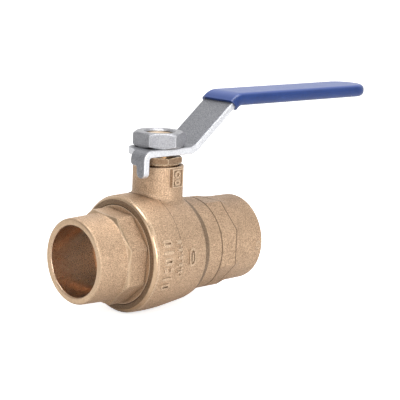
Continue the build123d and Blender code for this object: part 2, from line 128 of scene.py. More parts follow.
def spin_full(bm, axis, steps):
    """One full turn of the section about its axis, joined where it meets itself."""
    about = (1, 0, 0) if axis == "X" else (0, 0, 1)
    bmesh.ops.spin(
        bm, geom=bm.verts[:] + bm.edges[:], cent=(0, 0, 0), axis=about, angle=math.tau,
        steps=steps, use_merge=True,
    )
    bmesh.ops.remove_doubles(bm, verts=bm.verts[:], dist=0.001)


def turn(bm, axis, angle):
    """Turn a whole shape about an axis through the origin."""
    bmesh.ops.rotate(bm, cent=(0, 0, 0), matrix=Matrix.Rotation(angle, 3, axis), verts=bm.verts[:])


print("turning helpers ready")

# %% [markdown]
# ## Flats for a spanner
# A hexagon or octagon could be cut from the round with a boolean, which leaves a knife
# edge. Here each ring of the turned piece is pressed in to the flats instead, with a soft
# minimum between the round and the polygon, as a forging die would leave it.


# %% Press the flats
def soft_min(first, second, blend):
    """The smaller of two lengths, with a rounded hand-over between them."""
    gap = max(-1.0, min(1.0, (second - first) / (2 * blend)))
    share = (1 - gap) / 2
    return first * (1 - share) + second * share - blend * share * (1 - share)


def polygon_radius(angle, apothem, sides, crispness):
    """Radius of a polygon with slightly rounded corners, in one direction."""
    total = 0.0
    for side in range(sides):
        facing = math.cos(angle - side * math.tau / sides)
        if facing > 0:
            total += facing**crispness
    return apothem * total ** (-1 / crispness)


def press_flats(bm, axis, low, high, inside, apothem, sides, clock, crispness, blend):
    """Press the rings between two stations to a polygon, where they stand proud of it."""
    for vert in bm.verts:
        along, side, up = vert.co if axis == "X" else (vert.co.z, vert.co.x, vert.co.y)
        radius = math.hypot(side, up)
        if low <= along <= high and radius > inside:
            flat = polygon_radius(math.atan2(up, side) - clock, apothem, sides, crispness)
            factor = soft_min(radius, flat, blend) / radius
            if axis == "X":
                vert.co.y *= factor
                vert.co.z *= factor
            else:
                vert.co.x *= factor
                vert.co.y *= factor


print("corner of an octagon with 10 mm flats:", round(polygon_radius(math.pi / 8, 10, 8, 60), 3))

# %% [markdown]
# ## Finishing a piece
# Each finished mesh is merged, its faces are turned outwards and it is scaled to metres.
# Weighted normals keep broad faces flat next to small rounded edges. Then the piece is
# attached to the moving body that it rides on, and the solid that it stands for is hidden.


# %% Hand a shape over
def finish_piece(bm, name, body, node, materials, sharp=40):
    """Make an object of a shape and hand it to the frame."""
    bmesh.ops.remove_doubles(bm, verts=bm.verts[:], dist=0.0008)
    bmesh.ops.recalc_face_normals(bm, faces=bm.faces[:])
    bmesh.ops.scale(bm, vec=(MM, MM, MM), verts=bm.verts[:])
    mesh = bpy.data.meshes.new(name)
    bm.to_mesh(mesh)
    bm.free()
    mesh.shade_smooth()
    mesh.set_sharp_from_angle(angle=math.radians(sharp))
    for material in materials:
        mesh.materials.append(material)
    piece = bpy.data.objects.new(name, mesh)
    bpy.context.scene.collection.objects.link(piece)
    weights = piece.modifiers.new("Even shading", "WEIGHTED_NORMAL")
    weights.keep_sharp = True
    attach(piece, body)
    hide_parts(node)
    print(name, len(mesh.vertices), "points", len(mesh.polygons), "faces")
    return piece


def join_shape(bm, other):
    """Add one millimetre shape to another."""
    spare = bpy.data.meshes.new("spare")
    other.to_mesh(spare)
    other.free()
    bm.from_mesh(spare)
    bpy.data.meshes.remove(spare)


def push_out(bm, faces, offset):
    """Extrude faces by an offset; gives back the new geometry."""
    made = bmesh.ops.extrude_face_region(bm, geom=faces)["geom"]
    moved = [item for item in made if isinstance(item, bmesh.types.BMVert)]
    bmesh.ops.translate(bm, vec=offset, verts=moved)
    return made


def block(size, middle):
    """Plain block of a size round a middle point."""
    bm = bmesh.new()
    bmesh.ops.create_cube(bm, size=1)
    bmesh.ops.scale(bm, vec=size, verts=bm.verts[:])
    bmesh.ops.translate(bm, vec=middle, verts=bm.verts[:])
    return bm


print("finishing helpers ready")


# %% [markdown]
# ## Finishes: two effects that many materials share
# Forged and plated metal is never one colour. A shared group makes a fine and a coarse
# grain from two noises, and gives back a tint between 0 and 1 and a height. A second group
# finds outer edges and crevices: it compares the true normal with a rounded one, and it
# asks how much open space is near. Its masks paint a highlight, with some wear, on outer
# edges, and paint shade into crevices. Both are built once and used with other values.


# %% Start a node group with named sockets
def new_group(name, inputs, outputs):
    group = bpy.data.node_groups.new(name, "ShaderNodeTree")
    for label, kind, default in inputs:
        socket = group.interface.new_socket(name=label, in_out="INPUT", socket_type=kind)
        socket.default_value = default
    for label, kind in outputs:
        group.interface.new_socket(name=label, in_out="OUTPUT", socket_type=kind)
    enter = group.nodes.new("NodeGroupInput")
    leave = group.nodes.new("NodeGroupOutput")
    return group, enter.outputs, leave.inputs


def add_node(tree, kind, links=(), **settings):
    """A node with its settings, and links given as (input name or number, socket or value)."""
    node = tree.nodes.new("ShaderNode" + kind)
    for key, value in settings.items():
        setattr(node, key, value)
    for label, source in links:
        if isinstance(source, bpy.types.NodeSocket):
            tree.links.new(source, node.inputs[label])
        else:
            node.inputs[label].default_value = source
    return node


# %% Grain group
grain, grain_in, grain_out = new_group(
    "Metal grain",
    [("Fine", "NodeSocketFloat", 1400.0), ("Coarse", "NodeSocketFloat", 160.0),
     ("Mix", "NodeSocketFloat", 0.35)],
    [("Tint", "NodeSocketFloat"), ("Height", "NodeSocketFloat")],
)
place = add_node(grain, "TexCoord")
fine = add_node(grain, "TexNoise", [
    ("Vector", place.outputs["Object"]), ("Scale", grain_in["Fine"]),
    ("Detail", 3.0), ("Roughness", 0.62),
])
coarse = add_node(grain, "TexNoise", [
    ("Vector", place.outputs["Object"]), ("Scale", grain_in["Coarse"]),
    ("Detail", 4.0), ("Roughness", 0.55),
])
stretch_fine = add_node(grain, "MapRange", [
    ("Value", fine.outputs["Fac"]), ("From Min", 0.32),
    ("From Max", 0.68),
])
stretch_coarse = add_node(grain, "MapRange", [
    ("Value", coarse.outputs["Fac"]), ("From Min", 0.3),
    ("From Max", 0.7),
])
blend = add_node(grain, "Mix", [("Factor", grain_in["Mix"]), ("A", stretch_fine.outputs[0]),
                                ("B", stretch_coarse.outputs[0])], data_type="FLOAT")
grain.links.new(blend.outputs["Result"], grain_out["Tint"])
grain.links.new(stretch_fine.outputs[0], grain_out["Height"])
print("group", grain.name)

# %% Edge highlight and crevice shade group
edges, edges_in, edges_out = new_group(
    "Edges and crevices",
    [("Edge width", "NodeSocketFloat", 0.0006), ("Crevice reach", "NodeSocketFloat", 0.003)],
    [("Edge", "NodeSocketFloat"), ("Crevice", "NodeSocketFloat")],
)
rounded = add_node(edges, "Bevel", [("Radius", edges_in["Edge width"])], samples=4)
surface = add_node(edges, "NewGeometry")
agree = add_node(edges, "VectorMath", [(0, rounded.outputs[0]), (1, surface.outputs["Normal"])],
                 operation="DOT_PRODUCT")
edge_mask = add_node(edges, "MapRange", [
    ("Value", agree.outputs["Value"]), ("From Min", 0.995),
    ("From Max", 0.86),
])
open_space = add_node(edges, "AmbientOcclusion", [("Distance", edges_in["Crevice reach"])], samples=6)
crevice_mask = add_node(edges, "MapRange", [
    ("Value", open_space.outputs["AO"]), ("From Min", 0.85),
    ("From Max", 0.3),
])
convex = add_node(edges, "Math", [(0, 1.0), (1, crevice_mask.outputs[0])], operation="SUBTRACT")
outer_edge = add_node(edges, "Math", [(0, edge_mask.outputs[0]), (1, convex.outputs[0])],
                      operation="MULTIPLY")
edges.links.new(outer_edge.outputs[0], edges_out["Edge"])
edges.links.new(crevice_mask.outputs[0], edges_out["Crevice"])
print("group", edges.name)

# %% [markdown]
# ## Metal finishes
# One recipe makes all of the metals: a dark and a light colour mixed by the grain, a
# painted shade in crevices, a brighter tone on outer edges that is part wear and part
# painted highlight, and roughness and bump from the same grain. Each metal only differs in
# its values, so a change to the recipe reaches all of them. The values are four colours
# (dark, light, crevice shade, edge wear and highlight), then the scales of the fine and the
# coarse grain, the roughness and the bump. Turned surfaces add fine rings that run along the
# axis of the lathe.


# %% The metal recipe
def new_material(name):
    """A material with nodes, and its tree and shader."""
    material = bpy.data.materials.new(name)
    material.use_nodes = True
    return material, material.node_tree, material.node_tree.nodes["Principled BSDF"]


def use_group(tree, group, values):
    """A node that uses a shared group with its own values."""
    node = tree.nodes.new("ShaderNodeGroup")
    node.node_tree = group
    for label, value in values.items():
        node.inputs[label].default_value = value
    return node


def colour_mix(tree, factor, first, second):
    """Colour between two others; returns the colour socket."""
    mix = tree.nodes.new("ShaderNodeMix")
    mix.data_type = "RGBA"
    for socket, source in ((mix.inputs[0], factor), (mix.inputs[6], first), (mix.inputs[7], second)):
        if isinstance(source, bpy.types.NodeSocket):
            tree.links.new(source, socket)
        elif isinstance(source, float):
            socket.default_value = source
        else:
            socket.default_value = (*source, 1)
    return mix.outputs[2]


def scaled(tree, source, factor):
    """A value times a factor; returns the socket."""
    return add_node(tree, "Math", [(0, source), (1, factor)], operation="MULTIPLY").outputs[0]


def metal(name, dark, light, crevice_shade, edge, fine, coarse, rough, bump, rings="", metallic=1.0,
          grain_mix=0.35, crevice_reach=0.003, edge_strength=0.6, crevice_strength=0.7):
    """Material from four colours, two grain scales, a roughness and a bump."""
    material, tree, shader = new_material(name)
    shader.inputs["Metallic"].default_value = metallic
    grains = use_group(tree, grain, {"Fine": fine, "Coarse": coarse, "Mix": grain_mix})
    masks = use_group(tree, edges, {"Edge width": 0.0007, "Crevice reach": crevice_reach})
    colour = colour_mix(tree, grains.outputs["Tint"], dark, light)
    # Painted shade: the crevice colour darkens the base where little open space is near.
    colour = colour_mix(tree, scaled(tree, masks.outputs["Crevice"], crevice_strength), colour, crevice_shade)
    # Painted highlight, with some wear: the edge colour brightens outer edges.
    colour = colour_mix(tree, scaled(tree, masks.outputs["Edge"], edge_strength), colour, edge)
    tree.links.new(colour, shader.inputs["Base Color"])
    spread = add_node(tree, "MapRange", [
        ("Value", grains.outputs["Tint"]), ("To Min", rough + 0.08),
        ("To Max", rough - 0.06),
    ])
    tree.links.new(spread.outputs[0], shader.inputs["Roughness"])
    height = grains.outputs["Height"]
    if rings:
        height = turning_rings(tree, rings, height)
    relief = add_node(tree, "Bump", [("Height", height), ("Strength", bump), ("Distance", 0.0001)])
    tree.links.new(relief.outputs[0], shader.inputs["Normal"])
    print("finish", name)
    return material


def turning_rings(tree, axis, height):
    """Lathe marks: waves along the turning axis, broken up a little."""
    where = add_node(tree, "TexCoord")
    waves = add_node(tree, "TexWave", [("Vector", where.outputs["Object"]), ("Scale", 900.0),
                                       ("Distortion", 1.5), ("Detail", 2.0)], bands_direction=axis)
    mixed = add_node(tree, "Mix", [("Factor", 0.3), ("A", waves.outputs["Fac"]), ("B", height)],
                     data_type="FLOAT")
    return mixed.outputs["Result"]


# %% Brass finishes
forged_brass = metal("forged_brass_blasted", (0.23, 0.149, 0.089), (0.73, 0.515, 0.345),
                     (0.13, 0.075, 0.035), (0.85, 0.68, 0.5), 2300, 260, 0.5, 0.8, metallic=0.8,
                     grain_mix=0.12, crevice_reach=0.0014, crevice_strength=0.75, edge_strength=0.85)
# Painted shade for creases: a dark brass laid along the seam groove and the octagon's crease lines.
crease_shade_brass = metal("painted_crease_shade", (0.11, 0.068, 0.04), (0.21, 0.14, 0.085),
                      (0.05, 0.03, 0.015), (0.3, 0.2, 0.12), 2300, 260, 0.6, 0.6, metallic=0.6,
                      edge_strength=0.2)
# Painted shade: a darker copy of the forged brass, for the steep shoulder and the lip's front face.
painted_shade_brass = metal("forged_brass_painted_shade", (0.12, 0.077, 0.045), (0.36, 0.25, 0.16),
                     (0.08, 0.05, 0.025), (0.6, 0.45, 0.3), 2300, 260, 0.55, 0.8, metallic=0.8,
                     grain_mix=0.12)
turned_brass = metal("turned_brass", (0.48, 0.335, 0.21), (0.64, 0.46, 0.31), (0.3, 0.18, 0.09),
                     (0.8, 0.62, 0.44), 900, 90, 0.3, 0.12, rings="X")
bore_brass = metal("solder_cup_bore_brass", (0.8, 0.58, 0.42), (0.86, 0.64, 0.48), (0.4, 0.24, 0.12),
                   (0.8, 0.58, 0.36), 2300, 60, 0.27, 0.04, rings="X", grain_mix=0.15,
                   crevice_strength=0.2)
nut_brass = metal("packing_nut_brass", (0.24, 0.145, 0.085), (0.4, 0.265, 0.165), (0.07, 0.035, 0.02),
                  (0.85, 0.66, 0.46), 1100, 120, 0.26, 0.2, edge_strength=1.0, crevice_reach=0.0012)

# %% Steel and ball finishes
plated_steel = metal("zinc_plated_steel", (0.15, 0.152, 0.165), (0.4, 0.405, 0.43), (0.12, 0.12, 0.13),
                     (0.8, 0.81, 0.86), 2300, 260, 0.42, 0.5, metallic=0.85, grain_mix=0.12,
                     edge_strength=0.95)
nut_steel = metal("zinc_plated_nut", (0.22, 0.22, 0.235), (0.42, 0.42, 0.44), (0.16, 0.16, 0.16),
                  (0.85, 0.85, 0.88), 2000, 220, 0.38, 0.3, metallic=0.9, grain_mix=0.15,
                  crevice_reach=0.0015)
# Painted highlight: a much lighter copy of the zinc for the rim of the lever strip.
rim_highlight_steel = metal("zinc_rim_painted_highlight", (0.6, 0.605, 0.63), (0.82, 0.83, 0.86), (0.3, 0.3, 0.31),
                      (0.95, 0.95, 0.98), 1800, 200, 0.4, 0.35, metallic=0.75, grain_mix=0.12)
# Painted shade: a dark brown steel for the inside of the lever nut's hole.
nut_bore_shade_steel = metal("nut_bore_painted_shade", (0.13, 0.1, 0.08), (0.24, 0.19, 0.15), (0.05, 0.04, 0.03),
                     (0.5, 0.42, 0.35), 1500, 200, 0.4, 0.2)
stem_brass = metal("stem_brass", (0.58, 0.4, 0.21), (0.85, 0.63, 0.38), (0.3, 0.16, 0.07),
                   (0.9, 0.72, 0.48), 900, 120, 0.3, 0.15, rings="Z")
ball_chrome = metal("polished_ball_plating", (0.62, 0.62, 0.63), (0.75, 0.75, 0.76), (0.4, 0.4, 0.4),
                    (0.9, 0.9, 0.9), 300, 60, 0.12, 0.03)

# %% [markdown]
# ## Plastics
# The seats and packing are white PTFE: waxy, so a little light sinks in, with faint
# mottling. The grip is a dipped vinyl sleeve: a deep blue with a thin clear skin, tiny
# ripples from dipping, paler edges that are part scuffs and part painted highlight, and a
# top painted paler as a highlight from the bright space above it.


# %% PTFE and vinyl
def soft_plastic(name, dark, light, fine, coarse, rough, bump, edge, edge_strength, sockets, top_highlight=None):
    """Material for a plastic, with its own shader values and an optional painted highlight on top."""
    material, tree, shader = new_material(name)
    for label, value in sockets.items():
        shader.inputs[label].default_value = value
    grains = use_group(tree, grain, {"Fine": fine, "Coarse": coarse, "Mix": 0.6})
    masks = use_group(tree, edges, {"Edge width": 0.001, "Crevice reach": 0.004})
    colour = colour_mix(tree, grains.outputs["Tint"], dark, light)
    # Painted highlight: faces that point up take a paler colour.
    if top_highlight:
        facing = add_node(tree, "SeparateXYZ", [(0, add_node(tree, "TexCoord").outputs["Normal"])])
        upward = add_node(tree, "MapRange", [
            ("Value", facing.outputs["Z"]), ("From Min", 0.6),
            ("From Max", 0.95),
        ])
        colour = colour_mix(tree, upward.outputs[0], colour, top_highlight)
    # Edge colour: part scuffs, part painted highlight on outer edges.
    colour = colour_mix(tree, scaled(tree, masks.outputs["Edge"], edge_strength), colour, edge)
    tree.links.new(colour, shader.inputs["Base Color"])
    spread = add_node(tree, "MapRange", [
        ("Value", grains.outputs["Tint"]), ("To Min", rough - 0.05),
        ("To Max", rough + 0.06),
    ])
    tree.links.new(spread.outputs[0], shader.inputs["Roughness"])
    relief = add_node(tree, "Bump", [
        ("Height", grains.outputs["Height"]), ("Strength", bump),
        ("Distance", 0.0001),
    ])
    tree.links.new(relief.outputs[0], shader.inputs["Normal"])
    return material


ptfe = soft_plastic("ptfe_white", (0.78, 0.78, 0.76), (0.88, 0.88, 0.86), 600, 90, 0.45, 0.05,
                    (0.92, 0.92, 0.9), 0.3, {"Subsurface Weight": 0.15})
blue_vinyl = soft_plastic("dipped_blue_vinyl", (0.002, 0.02, 0.11), (0.005, 0.033, 0.165), 500, 60, 0.4,
                          0.12, (0.03, 0.08, 0.3), 0.2, {"Coat Weight": 0.12, "Coat Roughness": 0.16},
                          top_highlight=(0.035, 0.072, 0.255))
print("plastics ready")

# %% [markdown]
# ## Tail piece
# The tail piece screws into the body and holds the inlet seat. It is turned from a forging:
# a solder cup at the mouth, an octagon for the spanner, and a thread that you can't see.
# The section holds both the outside and the bore, so one spin makes the whole piece, and
# the octagon is pressed in afterwards.

# %% Sizes that both ends share
PIPE_BORE = 14.35
PORT = 12.7
MOUTH_CHAMFER = 0.5
OCTAGON_APOTHEM = 18.05
OCTAGON_CORNER = OCTAGON_APOTHEM / math.cos(math.pi / 8)
SEAT_BACK = -node_span("seat_ring_inlet", 0)[0]
SEAT_POCKET = 16.95
print("octagon corner", round(OCTAGON_CORNER, 2), "seat back", round(SEAT_BACK, 2))

# %% Tail piece shape
TAIL_FLOOR = -SEAT_BACK - 3.8
TAIL_CUP = 17.2
TAIL_CUP_ROOT = 17.65
TAIL_TURN = math.radians(4.6)
THREAD_CREST = 20.2
THREAD_ROOT = 19.45
FLAT_TOP = OCTAGON_CORNER + 0.3

tail_octagon_root = BODY_FACE - 0.15
tail_octagon_face = BODY_FACE - 8.0
tail = half_section(
    [
        (TAIL_MOUTH, PIPE_BORE + MOUTH_CHAMFER, 0.15), (TAIL_MOUTH, TAIL_CUP - 0.45, 0.3),
        (TAIL_MOUTH + 0.6, TAIL_CUP, 0.3), (tail_octagon_face - 1.05, TAIL_CUP_ROOT, 0.35),
        (tail_octagon_face, FLAT_TOP, 0.3), (tail_octagon_root, FLAT_TOP, 0.25),
        (tail_octagon_root + 0.02, OCTAGON_APOTHEM, 0), (BODY_FACE - 0.02, OCTAGON_APOTHEM, 0),
        (BODY_FACE + 0.02, THREAD_CREST, 0.1), (TAIL_NOSE - 0.6, THREAD_CREST, 0.2),
        (TAIL_NOSE, THREAD_ROOT, 0.1), (TAIL_NOSE, SEAT_POCKET, 0.1), (-SEAT_BACK, SEAT_POCKET, 0),
        (-SEAT_BACK, PORT, 0.3), (TAIL_FLOOR, PORT, 0.4), (TAIL_FLOOR, PIPE_BORE, 0.2),
        (TAIL_MOUTH + MOUTH_CHAMFER, PIPE_BORE, 0.15),
    ],
    "X",
)
cut_rings(tail, "X", tail_octagon_face - 1.2, tail_octagon_face + 0.3, 0.2)
spin_full(tail, "X", 192)
press_flats(tail, "X", tail_octagon_face - 1.2, tail_octagon_root + 0.01, 17.3,
            OCTAGON_APOTHEM, 8, 0, 130, 0.06)
turn(tail, "X", TAIL_TURN)
print("tail piece", len(tail.verts))


# %% Give the bore and the mouth their own finish
def paint(bm, index, test):
    """Give every face whose middle passes a test one material slot."""
    for face in bm.faces:
        middle = face.calc_center_median()
        if test(middle, math.hypot(middle.y, middle.z)):
            face.material_index = index


paint(tail, 1, lambda spot, radius: radius < PIPE_BORE + 0.2)
paint(tail, 2, lambda spot, radius: spot.x < TAIL_MOUTH + 0.25 and radius > PIPE_BORE + 0.2)
paint(tail, 2, lambda spot, radius: -1.1 < spot.x - tail_octagon_face < 0.1 and radius > 17.9)
finish_piece(tail, "tail_piece_forging", "housing", "tail_piece",
             [forged_brass, bore_brass, turned_brass])

# %% [markdown]
# ## Valve body: the barrel
# The body is one forging: a barrel round the ball, a lip where the tail piece screws in, a
# steep shoulder, a ring, a second octagon and the outlet cup. It is spun in one go, too.
# The barrel swells a little, so its outline has wide roundings at the crown and the waist.
# A shallow groove marks the seam between the halves of the die.

# %% Barrel outline
LIP_RADIUS = 23.55
LIP_BACK = -19.3
BARREL_LINE = [(LIP_BACK, 23.95), (-10.6, 24.35), (1.8, 23.05), (7.0, 22.4), (10.0, 21.4), (11.7, 20.3),
               (12.2, 19.7), (20.2, 19.4)]
BARREL_ROUNDING = [0.3, 5.0, 3.5, 1.0, 0.9, 0.35, 0.12, 0.2]
RING_END = BARREL_LINE[-1][0]
OUTLET_OCTAGON_END = RING_END + 9.1
OUTLET_CUP = 18.25
OUTLET_FLOOR = SEAT_BACK + 5.4
CHAMBER = 18.45
CHAMBER_END = SEAT_BACK - 6.6
BODY_THREAD = 20.35
SEAM = -6.7
GROOVE_END = 1.5
GROOVE_DEPTH = 0.08

body = half_section(
    [
        (BODY_FACE, BODY_THREAD + 0.15, 0.2), (BODY_FACE, LIP_RADIUS, 1.5),
        (LIP_BACK - 0.05, LIP_RADIUS, 0.1),
    ]
    + [(*spot, rounding) for spot, rounding in zip(BARREL_LINE, BARREL_ROUNDING)]
    + [
        (RING_END + 0.05, OCTAGON_CORNER, 0), (OUTLET_OCTAGON_END, OCTAGON_CORNER, 0.25),
        (OUTLET_OCTAGON_END + 0.12, OCTAGON_CORNER - 0.1, 0),
        (OUTLET_OCTAGON_END + 3.6, OUTLET_CUP + 0.1, 0.5), (BODY_MOUTH - 0.6, OUTLET_CUP, 0.3),
        (BODY_MOUTH, OUTLET_CUP - 0.5, 0.2), (BODY_MOUTH, PIPE_BORE + MOUTH_CHAMFER, 0.15),
        (BODY_MOUTH - MOUTH_CHAMFER, PIPE_BORE, 0.15), (OUTLET_FLOOR, PIPE_BORE, 0.2),
        (OUTLET_FLOOR, PORT, 0.4), (SEAT_BACK, PORT, 0.3), (SEAT_BACK, SEAT_POCKET, 0),
        (CHAMBER_END, SEAT_POCKET, 0.2), (CHAMBER_END, CHAMBER, 0.3), (SEAL_STEP, CHAMBER, 0.1),
        (SEAL_STEP, BODY_THREAD, 0), (TAIL_NOSE, BODY_THREAD, 0), (BODY_FACE + 0.5, BODY_THREAD, 0.1),
    ],
    "X",
)
cut_rings(body, "X", SEAM - 0.45, SEAM + 0.45, 0.15)
cut_rings(body, "X", RING_END - 0.6, RING_END - 0.6, 1)
cut_rings(body, "X", RING_END + 0.3, RING_END + 0.3, 1)
cut_rings(body, "X", OUTLET_OCTAGON_END - 0.35, OUTLET_OCTAGON_END + 0.5, 0.28)
spin_full(body, "X", 192)
press_flats(body, "X", RING_END + 0.02, OUTLET_OCTAGON_END + 5.0, 17.6, OCTAGON_APOTHEM, 8, 0, 200, 0.04)
for vert in body.verts:
    away = abs(vert.co.x - SEAM)
    radius = math.hypot(vert.co.y, vert.co.z)
    if away < 0.2 and vert.co.y < 0 and vert.co.z > GROOVE_END and radius > BODY_THREAD + 0.65:
        fade = min(1.0, (vert.co.z - GROOVE_END) / 3)
        groove = 1 - GROOVE_DEPTH * fade * (1 - away / 0.3) / 23.7
        vert.co.y *= groove
        vert.co.z *= groove
print("barrel", len(body.verts))

# %% [markdown]
# ## Valve body: the neck
# The neck carries the stem's packing. It is turned about Z and stands on the curved
# barrel, so its foot can't be a flat ring: the rings of its root fillet are dropped on to
# the barrel one by one, each a little wider and a little nearer to the surface.


# %% Height of the barrel under a point
def barrel_radius(x):
    """Radius of the barrel's outline at a station."""
    for (left, low), (right, high) in zip(BARREL_LINE, BARREL_LINE[1:]):
        if x <= right:
            share = max(0.0, (x - left) / (right - left))
            if left == LIP_BACK:
                share = share * share * (3 - 2 * share)
            return low + (high - low) * share
    return BARREL_LINE[-1][1]


def on_barrel(x, y):
    """Height of the barrel's upper side over a point of the ground plan."""
    return math.sqrt(barrel_radius(x) ** 2 - y * y)


print("barrel at the stem:", round(on_barrel(0, 0), 2))


# %% Neck with a fillet laid on the barrel
NECK_RADIUS = 10.45
NECK_TOP = PACKING_FOOT + 3.4
ROOT_FILLET = 1.5
STEM_BORE = 6.06
PACKING_BORE = 8.0
PACKING_FLOOR = 24.95
RISE_LEVELS = [26.0, 25.0, 24.0, 23.0]
FOOT_LEVELS = [22.4, 22.2, 22.0, 21.8, 21.6, 21.4]

neck = half_section(
    [
        (21.0, STEM_BORE, 0), (PACKING_FLOOR, STEM_BORE, 0), (PACKING_FLOOR, PACKING_BORE, 0),
        (PACKING_FOOT, PACKING_BORE, 0), (PACKING_FOOT + 0.4, PACKING_BORE + 0.52, 0),
        (NECK_TOP - 0.5, PACKING_BORE + 0.52, 0), (NECK_TOP, PACKING_BORE + 1, 0.1),
        (NECK_TOP, NECK_RADIUS, 0.35),
    ]
    + [(level, NECK_RADIUS, 0) for level in RISE_LEVELS + FOOT_LEVELS],
    "Z",
)
spin_full(neck, "Z", 144)
for vert in neck.verts:
    if math.hypot(vert.co.x, vert.co.y) > NECK_RADIUS - 0.1 and vert.co.z < RISE_LEVELS[0] + 0.5:
        ring = min(range(len(FOOT_LEVELS)), key=lambda k: abs(FOOT_LEVELS[k] - vert.co.z))
        on_foot = vert.co.z < FOOT_LEVELS[0] + 0.1
        round_off = ring / (len(FOOT_LEVELS) - 1) * math.pi / 2 if on_foot else 0
        reach = NECK_RADIUS + ROOT_FILLET * (1 - math.cos(round_off))
        lift = ROOT_FILLET * (1 - math.sin(round_off)) - 0.03
        lift += max(0.0, vert.co.z - FOOT_LEVELS[0]) * 0.6
        outward = reach / math.hypot(vert.co.x, vert.co.y)
        vert.co.x *= outward
        vert.co.y *= outward
        vert.co.z = on_barrel(vert.co.x, vert.co.y) + lift
join_shape(body, neck)
print("with neck", len(body.verts))

# %% [markdown]
# ## Valve body: what the die left on it
# A forging die leaves raised marks, and a pad on the neck. Lettering isn't copied: plain
# bars, rings and pips stand in for it. Each mark is drawn flat, extruded, and then wrapped
# on the barrel by scaling its points towards the pipe axis.


# %% Draw a flat mark, raise it and wrap it on the barrel
STROKE = 0.85


def flat_mark(kind, width, height):
    """Flat bar, loop, ring or pip; a ring's height is its stroke."""
    mark = bmesh.new()
    if kind in ("bar", "loop"):
        bmesh.ops.create_grid(mark, x_segments=1, y_segments=1, size=0.5)
        bmesh.ops.scale(mark, vec=(width, height, 1), verts=mark.verts[:])
        corners = mark.verts[:]
        share = 0.25 if kind == "bar" else 0.42
        bmesh.ops.bevel(mark, geom=corners, affect="VERTICES", offset=min(width, height) * share,
                        segments=4, profile=0.5, material=-1)
    else:
        bmesh.ops.create_circle(mark, cap_ends=True, segments=28, radius=width / 2)
    if kind in ("ring", "loop"):
        bmesh.ops.inset_region(
            mark, faces=mark.faces[:], thickness=height if kind == "ring" else STROKE, use_boundary=True
        )
        middle = max(mark.faces, key=lambda face: len(face.verts))
        bmesh.ops.delete(mark, geom=[middle], context="FACES_ONLY")
    return mark


def raise_mark(mark, lift, softness):
    """Give a flat mark its height and a soft upper edge."""
    made = push_out(mark, mark.faces[:], (0, 0, lift))
    top_faces = {item for item in made if isinstance(item, bmesh.types.BMFace)}
    edges_up = [edge for edge in mark.edges
                if len([face for face in edge.link_faces if face in top_faces]) == 1]
    bmesh.ops.bevel(mark, geom=edges_up, affect="EDGES", offset=softness, segments=2, profile=0.5,
                    material=-1)


def wrap_on_barrel(mark, x, z, sink):
    """Lay a raised mark on the -Y side of the barrel, at a station and a height."""
    for vert in mark.verts:
        station = vert.co.x + x
        radius = barrel_radius(station)
        angle = math.asin(z / radius) + vert.co.y / radius
        stand = radius + vert.co.z - sink
        vert.co = Vector((station, -math.cos(angle) * stand, math.sin(angle) * stand))


print("mark helpers ready")

# %% The marks on the barrel
MARK_LIFT = 0.58
MARK_SINK = 0.5
MARK_TOP = 7.9
MARK_PITCH = 3.5
MARK_LENGTH = 4.4
PAIR_BAR = (1.47, 1.7)
DASH_PITCH = 3.0
DASH_LENGTH = 2.6
first_column = LIP_BACK + 4.9
second_column = first_column + 6.2
third_column = second_column + 7.4
third_spot = MARK_TOP - 7.0
marks = []
for row, kind in enumerate(["loop", "bar", "loop", "pair", "bar", "loop"]):
    spot = MARK_TOP - MARK_PITCH * row
    if kind == "pair":
        marks += [("bar", *PAIR_BAR, first_column + side * PAIR_BAR[0], spot) for side in (-1, 1)]
    else:
        marks += [(kind, MARK_LENGTH, 3 * STROKE if kind == "loop" else STROKE, first_column, spot)]
for row in range(5):
    spot = MARK_TOP - DASH_PITCH * row
    marks += [("bar", DASH_LENGTH, STROKE, second_column, spot)]
    marks += [("pip", STROKE, STROKE, second_column + STROKE, spot - DASH_PITCH / 2)]
marks += [("loop", 3.6, 7.0, third_column, third_spot), ("bar", 0.9, 3.4, third_column, third_spot)]
for kind, width, height, x, z in marks:
    mark = flat_mark(kind, width, height)
    raise_mark(mark, MARK_LIFT + MARK_SINK, 0.16)
    wrap_on_barrel(mark, x, z, MARK_SINK)
    join_shape(body, mark)
print("marks", len(marks))

# %% Badge on the neck
BADGE_WIDTH = 5.4
BADGE_HEIGHT = 7.5
BADGE_DEPTH = 6.0
BADGE_FRAME = 0.6
BADGE_RECESS = 0.55
badge_face = -(NECK_RADIUS + 1.7)
badge_middle = NECK_TOP - 0.4 - BADGE_HEIGHT / 2
badge = block((BADGE_WIDTH, BADGE_DEPTH, BADGE_HEIGHT), (0, badge_face + BADGE_DEPTH / 2, badge_middle))
front = min(badge.faces, key=lambda face: face.calc_center_median().y)
bmesh.ops.inset_region(badge, faces=[front], thickness=BADGE_FRAME)
push_out(badge, [front], (0, BADGE_RECESS, 0))
bmesh.ops.delete(badge, geom=[front], context="FACES_ONLY")
bmesh.ops.bevel(badge, geom=badge.edges[:], affect="EDGES", offset=0.1, segments=2, profile=0.5,
                material=-1)
join_shape(body, badge)
for kind, width, height, lift in (("ring", 3.0, 0.7, 1.5), ("loop", 3.0, 2.4, -1.8)):
    mark = flat_mark(kind, width, height)
    raise_mark(mark, 0.5, 0.1)
    turn(mark, "X", math.pi / 2)
    bmesh.ops.translate(mark, vec=(0, badge_face + BADGE_RECESS + 0.01, badge_middle + lift),
                        verts=mark.verts[:])
    join_shape(body, mark)
print("badge at", round(badge_face, 2))

